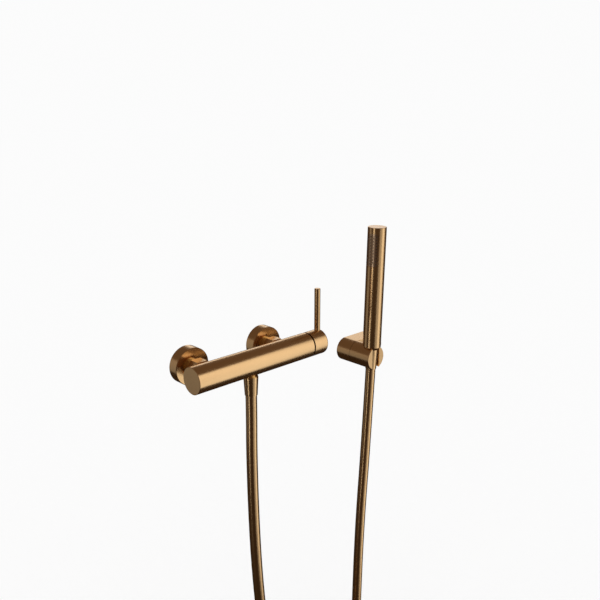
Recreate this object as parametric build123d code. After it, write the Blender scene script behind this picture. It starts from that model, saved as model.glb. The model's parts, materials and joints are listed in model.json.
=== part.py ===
from build123d import *
import math
import os

# Wall mounted bath mixer with a side lever, a shower hose, a stick hand shower and its wall holder.
# Millimetres. The finished wall is the plane y = 0 and the room is on the -Y side. X runs along the
# wall and Z is up. The origin lies on the wall, midway between the two inlets.

# ---- fits ----
THREAD_GAP = 0.05          # radial, between a screwed piece and its hole
RUN_GAP = 0.08             # radial, a turning pin in its hole
FREE_GAP = 0.3             # between pieces that move past each other
FACE_GAP = 0.2             # between faces that are not clamped together

# ---- inlets and rosettes ----
INLET_PITCH = 150.0
WALL_THREAD_R = 10.48      # G1/2 outside
WALL_THREAD_LEN = 18.0
UNION_THREAD_R = 13.22     # G3/4 outside
UNION_END = 36.0           # how far the union stands out from the wall
UNION_BORE_R = 7.5
ROSETTE_D = 60.0
ROSETTE_T = 18.0
ROSETTE_WALL = 1.6
ROSETTE_CHAMFER = 0.8
NUT_FLATS = 30.0
NUT_LEN = 17.0
NUT_LIP = 3.0
FLANGE_T = 2.2
NIPPLE_R = 9.5
SEAL_T = 2.0

# ---- mixer body ----
STAND_OFF = 65.5           # body axis to the wall
BODY_D = 42.0
BODY_LEFT = -110.5
BODY_RIGHT = 120.0
END_CAP_T = 4.0
END_SPIGOT = 8.0
PORT_R = 4.2
GALLERY_R = 5.0
INLET_BORE_R = 5.5
HOT_PORT = (3.5, 12.0)     # towards the wall, up, from the body axis
COLD_PORT = (7.5, 0.0)
MIXED_PORT = (-3.5, -9.0)

# ---- cartridge ----
CHAMBER_R = 18.0
CHAMBER_FLOOR = 81.5
PORT_SEAL_T = 1.2
PORT_SEAL_WALL = 1.2
BASE_T = 4.5
FIXED_DISC_T = 3.5
FIXED_DISC_R = 14.5
MOVING_DISC_T = 3.0
MOVING_DISC_R = 9.5
CARRIER_T = 5.2
CARRIER_R = 9.0
HOUSING_WALL = 2.5
HOUSING_END = 108.2
ROTOR_FLANGE_R = 14.6
ROTOR_FLANGE_T = 3.0
ROTOR_NECK_R = 12.8
ROTOR_END = 109.8
RING_NUT_T = 6.0
RING_NUT_BORE_R = 13.4
TILT_MAX = 20.0            # degrees

# ---- handle ----
CAP_GAP = 2.7
CAP_LEN = 29.7
CAP_CAVITY = 15.3
CAP_WALL = 2.4
CAP_ROUND = 2.2
PIVOT_INSET = 20.3         # rim of the handle cap to the tilt axis
STEM_R = 4.0
STEM_TIP_R = 2.0
STEM_TIP_REACH = 6.0       # tilt axis to the centre of the ball tip
STEM_NECK_R = 1.3
STEM_SHOULDER = 1.7         # tilt axis to the foot of the full stem, which tapers below it
STEM_END_DEPTH = 8.5
PIVOT_PIN_R = 1.5
PIVOT_PIN_LEN = 22.0
DOME_R = 26.0
DOME_WALL = 1.7
DOME_OPENING_R = 12.5
DOME_SKIRT = 5.0
LEVER_D = 10.0
LEVER_TOP = 92.8           # above the body axis
LEVER_INSET = 6.2          # lever axis to the outer face of the cap
LEVER_SEAT = 6.0
LEVER_THREAD_R = 3.0
LEVER_THREAD_LEN = 7.0
GRUB_R = 2.5

# ---- outlet and hose ----
OUTLET_THREAD_R = 8.0
OUTLET_DEPTH = 6.0           # of the nipple's hole in the body
HOSE_THREAD_R = 10.35      # G1/2 outside, with the crests taken off
NIPPLE_COLLAR = 1.5
NIPPLE_THREAD_LEN = 10.0
HOSE_D = 18.4
MIXER_NUT_TOP_D = 23.4
MIXER_NUT_LOW_D = 20.4
MIXER_NUT_LEN = 31.0
WASHER_T = 1.8
TAIL_BORE_R = 5.0

# ---- hand shower holder ----
HOLDER_X = 287.0
HOLDER_Z = -62.0
HOLDER_D = 43.5
HOLDER_DEPTH = 78.8
BASE_DEPTH = 32.0
BASE_PITCH = 50.0          # between the centres of the two rounded ends
BASE_WALL = 3.2
BASE_FRONT = 5.0
SEAM = 0.6
PLATE_T = 3.0
SCREW_HOLE_R = 2.5
SCREW_HEAD_R = 4.7
SCREW_HOLE_DEPTH = 1.2
POST = 14.0
BOLT_R = 4.0
BOLT_HEAD_R = 7.0
BOLT_HEAD_T = 4.2
WAVE_T = 0.8
BOLT_GRIP = 14.0
LINER_WALL = 1.0
SLOT_W = 19.2

# ---- hand shower ----
SEAT_Y = 67.6              # hand shower axis to the wall, at the height of the holder axis
SEAT_TILT = 1.25           # degrees, leaning into the room
SHOWER_D = 33.4
SHOWER_TOP = 242.8         # along its axis, from the holder axis
RIM = 21.5
TAPER = 5.5
SHOWER_WALL = 1.85
TOP_CAP_T = 3.0
TOP_CHAMFER = 0.5
SPIGOT_LEN = 10.0
INLET_THREAD_LEN = 11.0
NUT_TOP_D = 24.0
NUT_LOW_D = 20.2
NUT_LOW = -22.5
SLEEVE_TOP = 0.0
SLEEVE_GAP = 0.25
LIMITER_T = 5.0
SPRAY_LOW = 173.2
SPRAY_LEN = 58.6
SPRAY_HALF_ANGLE = 50.0
SPRAY_RECESS = 0.6
SPRAY_T = 1.3
NOZZLE_R = 0.95
NOZZLE_RISE = 0.7
NOZZLE_ROWS = 10
NOZZLE_PITCH = 5.4
NOZZLE_COLUMNS = (-40.0, -20.0, 0.0, 20.0, 40.0)
WATERWAY_R = 8.0
WATERWAY_WALL = 1.5

# ---- hose route, from the mixer nut to the hand shower nut ----
HOSE_ROUTE = [
    (0.0, -65.5, -53.0),
    (0.0, -65.5, -92.0),
    (-1.4, -65.6, -150.0),
    (-0.4, -65.9, -258.0),
    (3.2, -67.0, -368.0),
    (11.0, -69.0, -478.0),
    (24.0, -71.0, -580.0),
    (42.0, -72.5, -662.0),
    (77.0, -73.5, -708.0),
    (128.0, -74.0, -731.0),
    (182.0, -74.0, -728.0),
    (229.0, -73.5, -699.5),
    (256.5, -72.0, -651.5),
    (260.0, -70.5, -560.0),
    (263.5, -69.0, -464.0),
    (269.3, -67.5, -370.0),
    (277.3, -66.3, -275.0),
    (283.4, -65.6, -182.0),
    (286.7, -67.04, -87.5),
]

# ---- sizes that follow from the ones above ----
INLETS = {"hot": -INLET_PITCH / 2, "cold": INLET_PITCH / 2}
BODY_R = BODY_D / 2
CAP_RIM = BODY_RIGHT + CAP_GAP
CAP_END = CAP_RIM + CAP_LEN
CAP_BLOCK = CAP_RIM + CAP_CAVITY
PIVOT_X = CAP_RIM - PIVOT_INSET
BASE_X = CHAMBER_FLOOR + PORT_SEAL_T
FIXED_DISC_X = BASE_X + BASE_T
MOVING_DISC_X = FIXED_DISC_X + FIXED_DISC_T
CARRIER_X = MOVING_DISC_X + MOVING_DISC_T
ROTOR_X = CARRIER_X + CARRIER_T + FREE_GAP
LIP_X = ROTOR_X + ROTOR_FLANGE_T + FREE_GAP
HOLDER_R = HOLDER_D / 2
SHOWER_R = SHOWER_D / 2
NUT_TOP = RIM - TAPER - FACE_GAP
CONNECTOR_LOW = RIM - TAPER - INLET_THREAD_LEN
SPRAY_PLATE_R = SHOWER_R - SPRAY_RECESS


def turned(*outline):
    """A piece turned about Z from a closed outline of (radius, height) points."""
    return revolve(Plane.XZ * Polygon(*outline, align=None), axis=Axis.Z)


def rod(radius, low, high):
    """A round bar along Z between two heights."""
    return Pos(0, 0, low) * Cylinder(radius, high - low, align=(Align.CENTER, Align.CENTER, Align.MIN))


def ring(outer, inner, low, high):
    """A round tube along Z between two heights."""
    return rod(outer, low, high) - rod(inner, low, high)


def along_body(x=0.0, y=0.0, z=0.0):
    """Z of a piece laid along +X. The offsets are from the body axis: towards the wall, then up."""
    return Plane(origin=(x, y - STAND_OFF, z), x_dir=(0, 1, 0), z_dir=(1, 0, 0))


def off_wall(x, z=0.0):
    """Z of a piece pointed from the wall into the room."""
    return Plane(origin=(x, 0, z), x_dir=(1, 0, 0), z_dir=(0, -1, 0))


def lean():
    """The frame of the hand shower, whose Z is its own axis."""
    tilt = math.radians(SEAT_TILT)
    return Plane(origin=(HOLDER_X, -SEAT_Y, HOLDER_Z), x_dir=(1, 0, 0),
                 z_dir=(0, -math.sin(tilt), math.cos(tilt)))


def upright(x, y, z=0.0):
    """Z of a piece kept upright at a place."""
    return Pos(x, y, z)


def hexagon(flats, low, high):
    """A hexagonal bar along Z."""
    outline = RegularPolygon(flats / 2, 6, major_radius=False)
    return Pos(0, 0, low) * extrude(outline, high - low)


# ---- inlets ----
def inlet_union(x):
    shape = turned(
        (UNION_BORE_R, -WALL_THREAD_LEN), (WALL_THREAD_R - 0.8, -WALL_THREAD_LEN),
        (WALL_THREAD_R, -WALL_THREAD_LEN + 0.8), (WALL_THREAD_R, 0), (UNION_THREAD_R, 0),
        (UNION_THREAD_R, UNION_END - 1), (UNION_THREAD_R - 1, UNION_END), (UNION_BORE_R, UNION_END))
    return off_wall(x) * shape


def rosette(x):
    outer = ROSETTE_D / 2
    hole = UNION_THREAD_R + THREAD_GAP
    inner = outer - ROSETTE_WALL
    shape = turned(
        (inner, 0), (outer, 0), (outer, ROSETTE_T - ROSETTE_CHAMFER),
        (outer - ROSETTE_CHAMFER, ROSETTE_T), (hole, ROSETTE_T),
        (hole, ROSETTE_T - 2 * ROSETTE_WALL), (inner, ROSETTE_T - 2 * ROSETTE_WALL))
    return off_wall(x) * shape


def union_nut(x):
    low = UNION_END + SEAL_T + FLANGE_T + NUT_LIP - NUT_LEN + FACE_GAP
    high = low + NUT_LEN
    corner = NUT_FLATS / math.sqrt(3)
    bevel = turned((0, low), (corner - 1.2, low), (corner + 0.4, low + 1.2),
                   (corner + 0.4, high - 1.2), (corner - 1.2, high), (0, high))
    shape = hexagon(NUT_FLATS, low, high) & bevel
    shape -= rod(UNION_THREAD_R + THREAD_GAP, low, high - NUT_LIP)
    shape -= rod(NIPPLE_R + FREE_GAP, low, high)
    return off_wall(x) * shape


def inlet_seal(x):
    return off_wall(x) * ring(UNION_THREAD_R - 1, INLET_BORE_R, UNION_END, UNION_END + SEAL_T)


def inlet_filter(x):
    """A cup of fine mesh, pushed into the end of the union."""
    wall = 0.5
    outer = UNION_BORE_R - THREAD_GAP
    shape = turned(
        (0, UNION_END - 12), (outer - 1.5, UNION_END - 12), (outer, UNION_END - 1),
        (outer, UNION_END), (outer - wall, UNION_END), (outer - wall, UNION_END - 1),
        (outer - 1.5 - wall, UNION_END - 12 + wall), (0, UNION_END - 12 + wall))
    return off_wall(x) * shape


def check_valve(x):
    """A non-return valve in the mouth of the body's inlet."""
    low = UNION_END + SEAL_T + 1
    radius = INLET_BORE_R - THREAD_GAP
    shape = ring(radius, radius - 1.2, low, low + 9) + rod(radius, low + 4, low + 5.2)
    shape += rod(1.0, low + 1, low + 8)
    return off_wall(x) * shape


# ---- mixer body ----
def mixer_body():
    left = BODY_LEFT + END_CAP_T
    chamfer = 0.4
    bar = turned((0, left), (BODY_R, left), (BODY_R, BODY_RIGHT - chamfer),
                 (BODY_R - chamfer, BODY_RIGHT), (0, BODY_RIGHT))
    shape = along_body() * bar
    flange = UNION_END + SEAL_T
    for x in INLETS.values():
        shape += off_wall(x) * rod(NIPPLE_R, flange, STAND_OFF - BODY_R / 2)
        shape += off_wall(x) * rod(UNION_THREAD_R - 0.4, flange, flange + FLANGE_T)
    shape -= along_body() * rod(CHAMBER_R, CHAMBER_FLOOR, BODY_RIGHT + 1)
    shape -= along_body() * rod(BODY_R - 4, left - 1, left + END_SPIGOT)
    hot, cold = INLETS["hot"], INLETS["cold"]
    for x in (hot, cold):
        shape -= off_wall(x) * rod(INLET_BORE_R, flange - 1, STAND_OFF - 1)
    neck = CHAMBER_FLOOR - 4
    shape -= along_body(0, *HOT_PORT) * rod(GALLERY_R, left + END_SPIGOT - 1, neck)
    shape -= along_body(0, *HOT_PORT) * rod(PORT_R, neck - 1, CHAMBER_FLOOR + 1)
    shape -= along_body(0, *COLD_PORT) * rod(PORT_R, cold, CHAMBER_FLOOR + 1)
    shape -= along_body(0, *MIXED_PORT) * rod(GALLERY_R, -GALLERY_R - 3, neck)
    shape -= along_body(0, *MIXED_PORT) * rod(PORT_R, neck - 1, CHAMBER_FLOOR + 1)
    shape -= upright(hot, HOT_PORT[0] - STAND_OFF) * rod(PORT_R, 0, HOT_PORT[1])
    outlet = upright(0, -STAND_OFF)
    shape -= outlet * rod(TAIL_BORE_R + 1, -BODY_R - 1, MIXED_PORT[1])
    return shape - outlet * rod(OUTLET_THREAD_R + THREAD_GAP, -BODY_R - 1, -BODY_R + OUTLET_DEPTH)


def body_end_cap():
    left = BODY_LEFT
    spigot = BODY_R - 4 - THREAD_GAP
    shape = turned((0, left), (BODY_R - 0.5, left), (BODY_R, left + 0.5), (BODY_R, left + END_CAP_T),
                   (spigot, left + END_CAP_T), (spigot, left + END_CAP_T + END_SPIGOT - 1),
                   (spigot - 4, left + END_CAP_T + END_SPIGOT - 1), (spigot - 4, left + END_CAP_T),
                   (0, left + END_CAP_T))
    return along_body() * shape


def end_cap_seal():
    """An O-ring at the foot of the end cap's spigot."""
    face = BODY_LEFT + END_CAP_T + END_SPIGOT
    return along_body() * ring(BODY_R - 4.2, BODY_R - 7.8, face - 0.95, face)


def outlet_nipple():
    top = -BODY_R + OUTLET_DEPTH - FACE_GAP
    collar = -BODY_R - NIPPLE_COLLAR
    shape = turned(
        (TAIL_BORE_R, top), (OUTLET_THREAD_R, top), (OUTLET_THREAD_R, -BODY_R - FACE_GAP),
        (HOSE_THREAD_R, -BODY_R - FACE_GAP), (HOSE_THREAD_R, collar - NIPPLE_THREAD_LEN),
        (TAIL_BORE_R, collar - NIPPLE_THREAD_LEN))
    return upright(0, -STAND_OFF) * shape


# ---- cartridge ----
def port_cuts(shape, low, high, radius=PORT_R):
    for port in (HOT_PORT, COLD_PORT, MIXED_PORT):
        shape -= Pos(port[0], port[1], 0) * rod(radius, low, high)
    return shape


def port_seals():
    outer = PORT_R + PORT_SEAL_WALL
    rings = [Pos(port[0], port[1], 0) * ring(outer, PORT_R, CHAMBER_FLOOR, BASE_X)
             for port in (HOT_PORT, COLD_PORT, MIXED_PORT)]
    return along_body() * Compound(children=rings)


def cartridge_base():
    shape = rod(CHAMBER_R - 0.5, BASE_X, FIXED_DISC_X)
    return along_body() * port_cuts(shape, BASE_X, FIXED_DISC_X)


def fixed_disc():
    shape = rod(FIXED_DISC_R, FIXED_DISC_X, MOVING_DISC_X)
    return along_body() * port_cuts(shape, FIXED_DISC_X, MOVING_DISC_X, PORT_R - 1.2)


def moving_disc():
    """The sliding ceramic disc, with the pocket that joins the ports under it."""
    low = MOVING_DISC_X + 0.02
    shape = rod(MOVING_DISC_R, low, CARRIER_X)
    shape -= Pos(0, 1.0, 0) * Box(9, 6, 1.6, align=(Align.CENTER, Align.CENTER, Align.MIN)).moved(
        Location((0, 0, low)))
    return along_body() * shape


def disc_carrier():
    """Carries the sliding disc and holds the ball tip of the stem in its socket."""
    shape = rod(CARRIER_R, CARRIER_X, CARRIER_X + CARRIER_T)
    shape -= rod(STEM_TIP_R + FREE_GAP + 0.1, CARRIER_X, CARRIER_X + CARRIER_T)
    return along_body() * shape


def cartridge_housing():
    outer = CHAMBER_R - 0.5
    inner = outer - HOUSING_WALL
    lip = ROTOR_NECK_R + FREE_GAP
    shape = turned((inner, FIXED_DISC_X), (outer, FIXED_DISC_X), (outer, HOUSING_END),
                   (lip, HOUSING_END), (lip, LIP_X), (inner, LIP_X))
    return along_body() * shape


def cartridge_rotor():
    """Turns for temperature. The stem tilts in its slot on a cross pin."""
    shape = rod(ROTOR_FLANGE_R, ROTOR_X, ROTOR_X + ROTOR_FLANGE_T)
    shape += rod(ROTOR_NECK_R, ROTOR_X, ROTOR_END)
    tilt = math.radians(TILT_MAX)
    room = (STEM_R + FREE_GAP) / math.cos(tilt) + 0.4
    up = (ROTOR_END - PIVOT_X) * math.tan(tilt) + room
    down = (PIVOT_X - ROTOR_X) * math.tan(tilt) + room
    slot = Box(2 * (STEM_R + FREE_GAP), up + down, ROTOR_END - ROTOR_X + 1)
    shape -= Pos(0, (up - down) / 2, (ROTOR_END + ROTOR_X) / 2) * slot
    shape = along_body() * shape
    return shape - off_wall(PIVOT_X) * rod(PIVOT_PIN_R + RUN_GAP, STAND_OFF - 20, STAND_OFF + 20)


def ring_nut():
    """Clamps the cartridge in its chamber; four notches take a key."""
    low = HOUSING_END + 0.1
    shape = ring(CHAMBER_R - THREAD_GAP, RING_NUT_BORE_R, low, low + RING_NUT_T)
    for quarter in range(4):
        notch = Pos(CHAMBER_R - 2, 0, low + RING_NUT_T - 1) * Box(3, 3, 4)
        shape -= Rot(0, 0, 45 + 90 * quarter) * notch
    return along_body() * shape


def dome_cover():
    """The round trim behind the handle cap, struck from the tilt axis."""
    low = BODY_RIGHT + FACE_GAP
    shell = Sphere(DOME_R) - Sphere(DOME_R - DOME_WALL)
    shape = Pos(0, 0, PIVOT_X) * shell & rod(DOME_R, low, PIVOT_X + DOME_R)
    shape -= rod(DOME_OPENING_R, low, PIVOT_X + DOME_R)
    skirt = CHAMBER_R - THREAD_GAP
    shape += ring(skirt, skirt - 2, BODY_RIGHT - DOME_SKIRT, low + 0.6)
    return along_body() * shape


# ---- handle ----
def cap_stem():
    neck = PIVOT_X - STEM_TIP_REACH
    end = CAP_BLOCK + STEM_END_DEPTH
    shape = turned((0, PIVOT_X - STEM_SHOULDER - 1), (STEM_R - 1.8, PIVOT_X - STEM_SHOULDER - 1),
                   (STEM_R, PIVOT_X - STEM_SHOULDER), (STEM_R, end), (0, end))
    shape += rod(STEM_NECK_R, neck, PIVOT_X)
    shape += Pos(0, 0, neck) * Sphere(STEM_TIP_R)
    shape = along_body() * shape
    return shape - off_wall(PIVOT_X) * rod(PIVOT_PIN_R + 0.02, STAND_OFF - 6, STAND_OFF + 6)


def pivot_pin():
    half = PIVOT_PIN_LEN / 2
    return off_wall(PIVOT_X) * rod(PIVOT_PIN_R, STAND_OFF - half, STAND_OFF + half)


def handle_cap():
    shape = rod(BODY_R, CAP_RIM, CAP_END) - rod(BODY_R - CAP_WALL, CAP_RIM, CAP_BLOCK)
    outer = shape.edges().filter_by(GeomType.CIRCLE).sort_by(Axis.Z)[-1]
    shape = fillet(outer, CAP_ROUND)
    shape -= rod(STEM_R + THREAD_GAP, CAP_BLOCK, CAP_BLOCK + STEM_END_DEPTH + 0.5)
    shape = along_body() * shape
    lever = upright(CAP_END - LEVER_INSET, -STAND_OFF)
    shape -= lever * rod(LEVER_D / 2 + 0.03, BODY_R - LEVER_SEAT, BODY_R + 1)
    shape -= lever * rod(LEVER_THREAD_R + 0.03, BODY_R - LEVER_SEAT - LEVER_THREAD_LEN - 0.5, BODY_R)
    grub = upright(CAP_BLOCK + STEM_END_DEPTH / 2, -STAND_OFF)
    return shape - grub * rod(GRUB_R + 0.03, -BODY_R - 1, -STEM_R + 1)


def lever_pin():
    radius = LEVER_D / 2
    seat = BODY_R - LEVER_SEAT
    shape = turned(
        (0, seat - LEVER_THREAD_LEN), (LEVER_THREAD_R, seat - LEVER_THREAD_LEN), (LEVER_THREAD_R, seat),
        (radius, seat), (radius, LEVER_TOP - 0.7), (radius - 0.7, LEVER_TOP), (0, LEVER_TOP))
    return upright(CAP_END - LEVER_INSET, -STAND_OFF) * shape


def handle_grub_screw():
    shape = rod(GRUB_R, -BODY_R + 1.2, -STEM_R - 0.1)
    shape -= hexagon(2.5, -BODY_R + 1, -BODY_R + 4)
    return upright(CAP_BLOCK + STEM_END_DEPTH / 2, -STAND_OFF) * shape


# ---- hose ends at the mixer ----
NIPPLE_LOW = -BODY_R - NIPPLE_COLLAR - NIPPLE_THREAD_LEN
MIXER_NUT_TOP = -BODY_R - 1.0
MIXER_NUT_LOW = MIXER_NUT_TOP - MIXER_NUT_LEN


def mixer_hose_washer():
    return upright(0, -STAND_OFF) * ring(HOSE_THREAD_R - 0.3, TAIL_BORE_R, NIPPLE_LOW - WASHER_T, NIPPLE_LOW)


def mixer_hose_nut():
    top, low = MIXER_NUT_TOP, MIXER_NUT_LOW
    shoulder = NIPPLE_LOW - WASHER_T
    bore = HOSE_THREAD_R + THREAD_GAP
    shape = turned(
        (bore, top), (MIXER_NUT_TOP_D / 2 - 0.3, top), (MIXER_NUT_TOP_D / 2, top - 0.6),
        (MIXER_NUT_TOP_D / 2, top - 3), (MIXER_NUT_LOW_D / 2, low), (TAIL_BORE_R + 1.5, low),
        (TAIL_BORE_R + 1.5, shoulder), (bore, shoulder))
    return upright(0, -STAND_OFF) * shape


def mixer_hose_tail():
    """The barbed tail that the hose lining is crimped on."""
    shoulder = NIPPLE_LOW - WASHER_T
    outer = TAIL_BORE_R + 1.5 - THREAD_GAP
    return upright(0, -STAND_OFF) * ring(outer, TAIL_BORE_R - 1, MIXER_NUT_LOW, shoulder)


def hose_radii(points):
    """The largest tangent arc at each corner: 0.45 of the shorter run over tan(half the turn)."""
    radii = []
    for before, corner, after in zip(points, points[1:], points[2:]):
        into = Vector(*corner) - Vector(*before)
        out = Vector(*after) - Vector(*corner)
        half_turn = math.radians(into.get_angle(out)) / 2
        radii.append(0.45 * min(into.length, out.length) / math.tan(half_turn))
    return radii


def shower_hose():
    radii = hose_radii(HOSE_ROUTE)
    print("hose radii", [round(radius) for radius in radii])
    path = FilletPolyline(*HOSE_ROUTE, radius=radii)
    start = Plane(origin=path @ 0, z_dir=path % 0)
    shape = sweep(start * Circle(HOSE_D / 2), path=path)
    section = math.pi * HOSE_D ** 2 / 4
    print("hose length", round(path.length, 1), "volume over section", round(shape.volume / section, 1))
    return shape


# ---- hand shower holder ----
def pill(radius, low, high):
    """The flat-sided oval of the holder's base, between two distances from the wall."""
    outline = SlotCenterToCenter(BASE_PITCH, 2 * radius)
    return Pos(BASE_PITCH / 2, 0, low) * extrude(outline, high - low)


def holder_base():
    edge = 0.6
    shape = pill(HOLDER_R - edge, 0, BASE_DEPTH) + pill(HOLDER_R, edge, BASE_DEPTH)
    shape -= pill(HOLDER_R - BASE_WALL, 0, BASE_DEPTH - BASE_FRONT)
    shape -= rod(BOLT_R + RUN_GAP, 0, BASE_DEPTH)
    shape = off_wall(HOLDER_X, HOLDER_Z) * shape
    return shape - holder_screw_line() * rod(GRUB_R + 0.03, -HOLDER_R - 1, -POST / 2 + 0.5)


def holder_screw_line():
    """The upright line of the grub screw that locks the base on its wall plate."""
    return upright(HOLDER_X + BASE_PITCH / 2, -PLATE_T - POST / 2, HOLDER_Z)


def wall_plate():
    shape = pill(HOLDER_R - BASE_WALL - 0.4, 0, PLATE_T)
    post = Box(POST, POST, POST, align=(Align.CENTER, Align.CENTER, Align.MIN))
    shape += Pos(BASE_PITCH / 2, 0, PLATE_T) * post
    for x in (0, BASE_PITCH):
        hole = turned((0, 0), (SCREW_HOLE_R, 0), (SCREW_HOLE_R, SCREW_HOLE_DEPTH), (SCREW_HEAD_R, PLATE_T), (0, PLATE_T))
        shape -= Pos(x, 0, 0) * hole
    return off_wall(HOLDER_X, HOLDER_Z) * shape


def holder_grub_screw():
    shape = rod(GRUB_R, -HOLDER_R + 1.0, -POST / 2 - 0.05)
    shape -= hexagon(2.5, -HOLDER_R + 0.5, -HOLDER_R + 3.5)
    return holder_screw_line() * shape


def pivot_bolt():
    """Draws the barrel against the base; it turns with the barrel."""
    under_head = BASE_DEPTH - BASE_FRONT - WAVE_T
    shape = rod(BOLT_HEAD_R, under_head - BOLT_HEAD_T, under_head)
    shape += rod(BOLT_R, under_head, BASE_DEPTH + SEAM + BOLT_GRIP)
    shape -= hexagon(6.0, under_head - BOLT_HEAD_T - 1, under_head - 1.2)
    return off_wall(HOLDER_X, HOLDER_Z) * shape


def spring_washer():
    under_head = BASE_DEPTH - BASE_FRONT - WAVE_T
    return off_wall(HOLDER_X, HOLDER_Z) * ring(BOLT_HEAD_R, BOLT_R + RUN_GAP, under_head, BASE_DEPTH - BASE_FRONT)


def friction_ring():
    """A nylon ring in the seam that keeps the barrel where it is turned."""
    return off_wall(HOLDER_X, HOLDER_Z) * ring(HOLDER_R - 1.5, BOLT_R + FREE_GAP, BASE_DEPTH, BASE_DEPTH + SEAM)


def seat_cone(gap, low, high):
    """The cone of the hose nut, grown by a gap, between two heights on the hand shower's axis."""
    slope = (NUT_TOP_D - NUT_LOW_D) / 2 / (NUT_TOP - NUT_LOW)
    low_r = NUT_LOW_D / 2 + (low - NUT_LOW) * slope + gap
    high_r = NUT_LOW_D / 2 + (high - NUT_LOW) * slope + gap
    return turned((0, low), (low_r, low), (high_r, high), (0, high))


def taper_cone(gap):
    """The tapered foot of the hand shower, grown by a gap."""
    return turned((0, RIM - TAPER - gap), (NUT_TOP_D / 2 + gap, RIM - TAPER - gap),
                  (SHOWER_R + gap, RIM), (SHOWER_R + gap, RIM + 4), (0, RIM + 4))


def front_slot(width):
    """The slot that lets the hose into the seat from the front."""
    reach = HOLDER_DEPTH - SEAT_Y + 4
    return Pos(0, -reach / 2, 0) * Box(width, reach, 3 * HOLDER_D)


def holder_barrel():
    edge = 0.4
    shape = turned((0, BASE_DEPTH + SEAM), (HOLDER_R, BASE_DEPTH + SEAM), (HOLDER_R, HOLDER_DEPTH - edge),
                   (HOLDER_R - edge, HOLDER_DEPTH), (0, HOLDER_DEPTH))
    shape -= rod(BOLT_R + 0.03, BASE_DEPTH, BASE_DEPTH + SEAM + BOLT_GRIP + 0.5)
    shape = off_wall(HOLDER_X, HOLDER_Z) * shape
    shape -= lean() * seat_cone(FREE_GAP + LINER_WALL + 0.02, -HOLDER_D, HOLDER_D)
    shape -= lean() * taper_cone(FREE_GAP)
    return shape - lean() * front_slot(SLOT_W)


def seat_liner():
    """A thin plastic cone that keeps the hose nut from marking the barrel."""
    half = HOLDER_R - 7
    shape = seat_cone(FREE_GAP + LINER_WALL, -half, half) - seat_cone(FREE_GAP, -half - 1, half + 1)
    return lean() * (shape - front_slot(SLOT_W + 0.4) - taper_cone(FREE_GAP))


# ---- hand shower ----
def sector(outer, low, high, half_angle):
    """A wedge of a round bar that faces -X."""
    reach = outer / math.cos(math.radians(half_angle))
    side = reach * math.sin(math.radians(half_angle))
    wedge = Polygon((0, 0), (-outer * 1.5, side * 1.5), (-outer * 1.5, -side * 1.5), align=None)
    return rod(outer, low, high) & (Pos(0, 0, low) * extrude(wedge, high - low))


def shower_tube():
    top = SHOWER_TOP - TOP_CAP_T
    shape = ring(SHOWER_R, SHOWER_R - SHOWER_WALL, RIM, top)
    window = sector(SHOWER_R + 1, SPRAY_LOW, SPRAY_LOW + SPRAY_LEN, SPRAY_HALF_ANGLE)
    return lean() * (shape - window)


def shower_top_cap():
    low = SHOWER_TOP - TOP_CAP_T
    spigot = SHOWER_R - SHOWER_WALL - THREAD_GAP
    shape = turned((0, low), (spigot - 1.5, low), (spigot - 1.5, low - 3), (spigot, low - 3), (spigot, low),
                   (SHOWER_R, low), (SHOWER_R, SHOWER_TOP - TOP_CHAMFER),
                   (SHOWER_R - TOP_CHAMFER, SHOWER_TOP), (0, SHOWER_TOP))
    return lean() * shape


def nozzle_places():
    """(angle round from -X, height) of each nozzle; every second column is set half a step down."""
    first = SPRAY_LOW + SPRAY_LEN / 2 - (NOZZLE_ROWS - 1) * NOZZLE_PITCH / 2
    for index, angle in enumerate(NOZZLE_COLUMNS):
        staggered = index % 2 == 1
        rows = NOZZLE_ROWS - 1 if staggered else NOZZLE_ROWS
        for row in range(rows):
            yield angle, first + (row + (0.5 if staggered else 0.0)) * NOZZLE_PITCH


def nozzle(angle, height, radius, inner, outer):
    """A short radial pin at one nozzle's place."""
    turn = math.radians(180 + angle)
    facing = Plane(origin=(0, 0, height), z_dir=(math.cos(turn), math.sin(turn), 0))
    return facing * rod(radius, inner, outer)


def spray_plate():
    gap = 0.6
    plate = sector(SPRAY_PLATE_R, SPRAY_LOW + 0.05, SPRAY_LOW + SPRAY_LEN - 0.05, SPRAY_HALF_ANGLE - gap)
    plate -= rod(SPRAY_PLATE_R - SPRAY_T, SPRAY_LOW, SPRAY_LOW + SPRAY_LEN)
    holes = [nozzle(angle, height, NOZZLE_R + 0.02, SPRAY_PLATE_R - 3, SPRAY_PLATE_R + 1)
             for angle, height in nozzle_places()]
    return lean() * (plate - holes)


def spray_nozzles():
    pins = []
    for angle, height in nozzle_places():
        pin = nozzle(angle, height, NOZZLE_R, SPRAY_PLATE_R - SPRAY_T + 0.02, SPRAY_PLATE_R + NOZZLE_RISE)
        pins.append(pin - nozzle(angle, height, 0.4, SPRAY_PLATE_R - SPRAY_T, SPRAY_PLATE_R + 2))
    return lean() * Compound(children=pins)


def spray_chamber():
    """The plastic box behind the spray plate that feeds its nozzles."""
    outer = SPRAY_PLATE_R - SPRAY_T - 0.05
    low, high = SPRAY_LOW - 4, SPRAY_LOW + SPRAY_LEN + 1.5
    shape = rod(outer, low, high)
    cavity = sector(outer + 1, SPRAY_LOW + 2, SPRAY_LOW + SPRAY_LEN - 2, SPRAY_HALF_ANGLE - 5)
    shape -= cavity - rod(4, low, high)
    shape -= rod(3, low, SPRAY_LOW + 20)
    shape -= Pos(-5, 0, SPRAY_LOW + 12) * Box(10, 5, 12)
    return lean() * shape


def shower_waterway():
    low = RIM + SPIGOT_LEN + 0.1
    high = SPRAY_LOW - 4
    return lean() * ring(WATERWAY_R, WATERWAY_R - WATERWAY_WALL, low, high)


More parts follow.
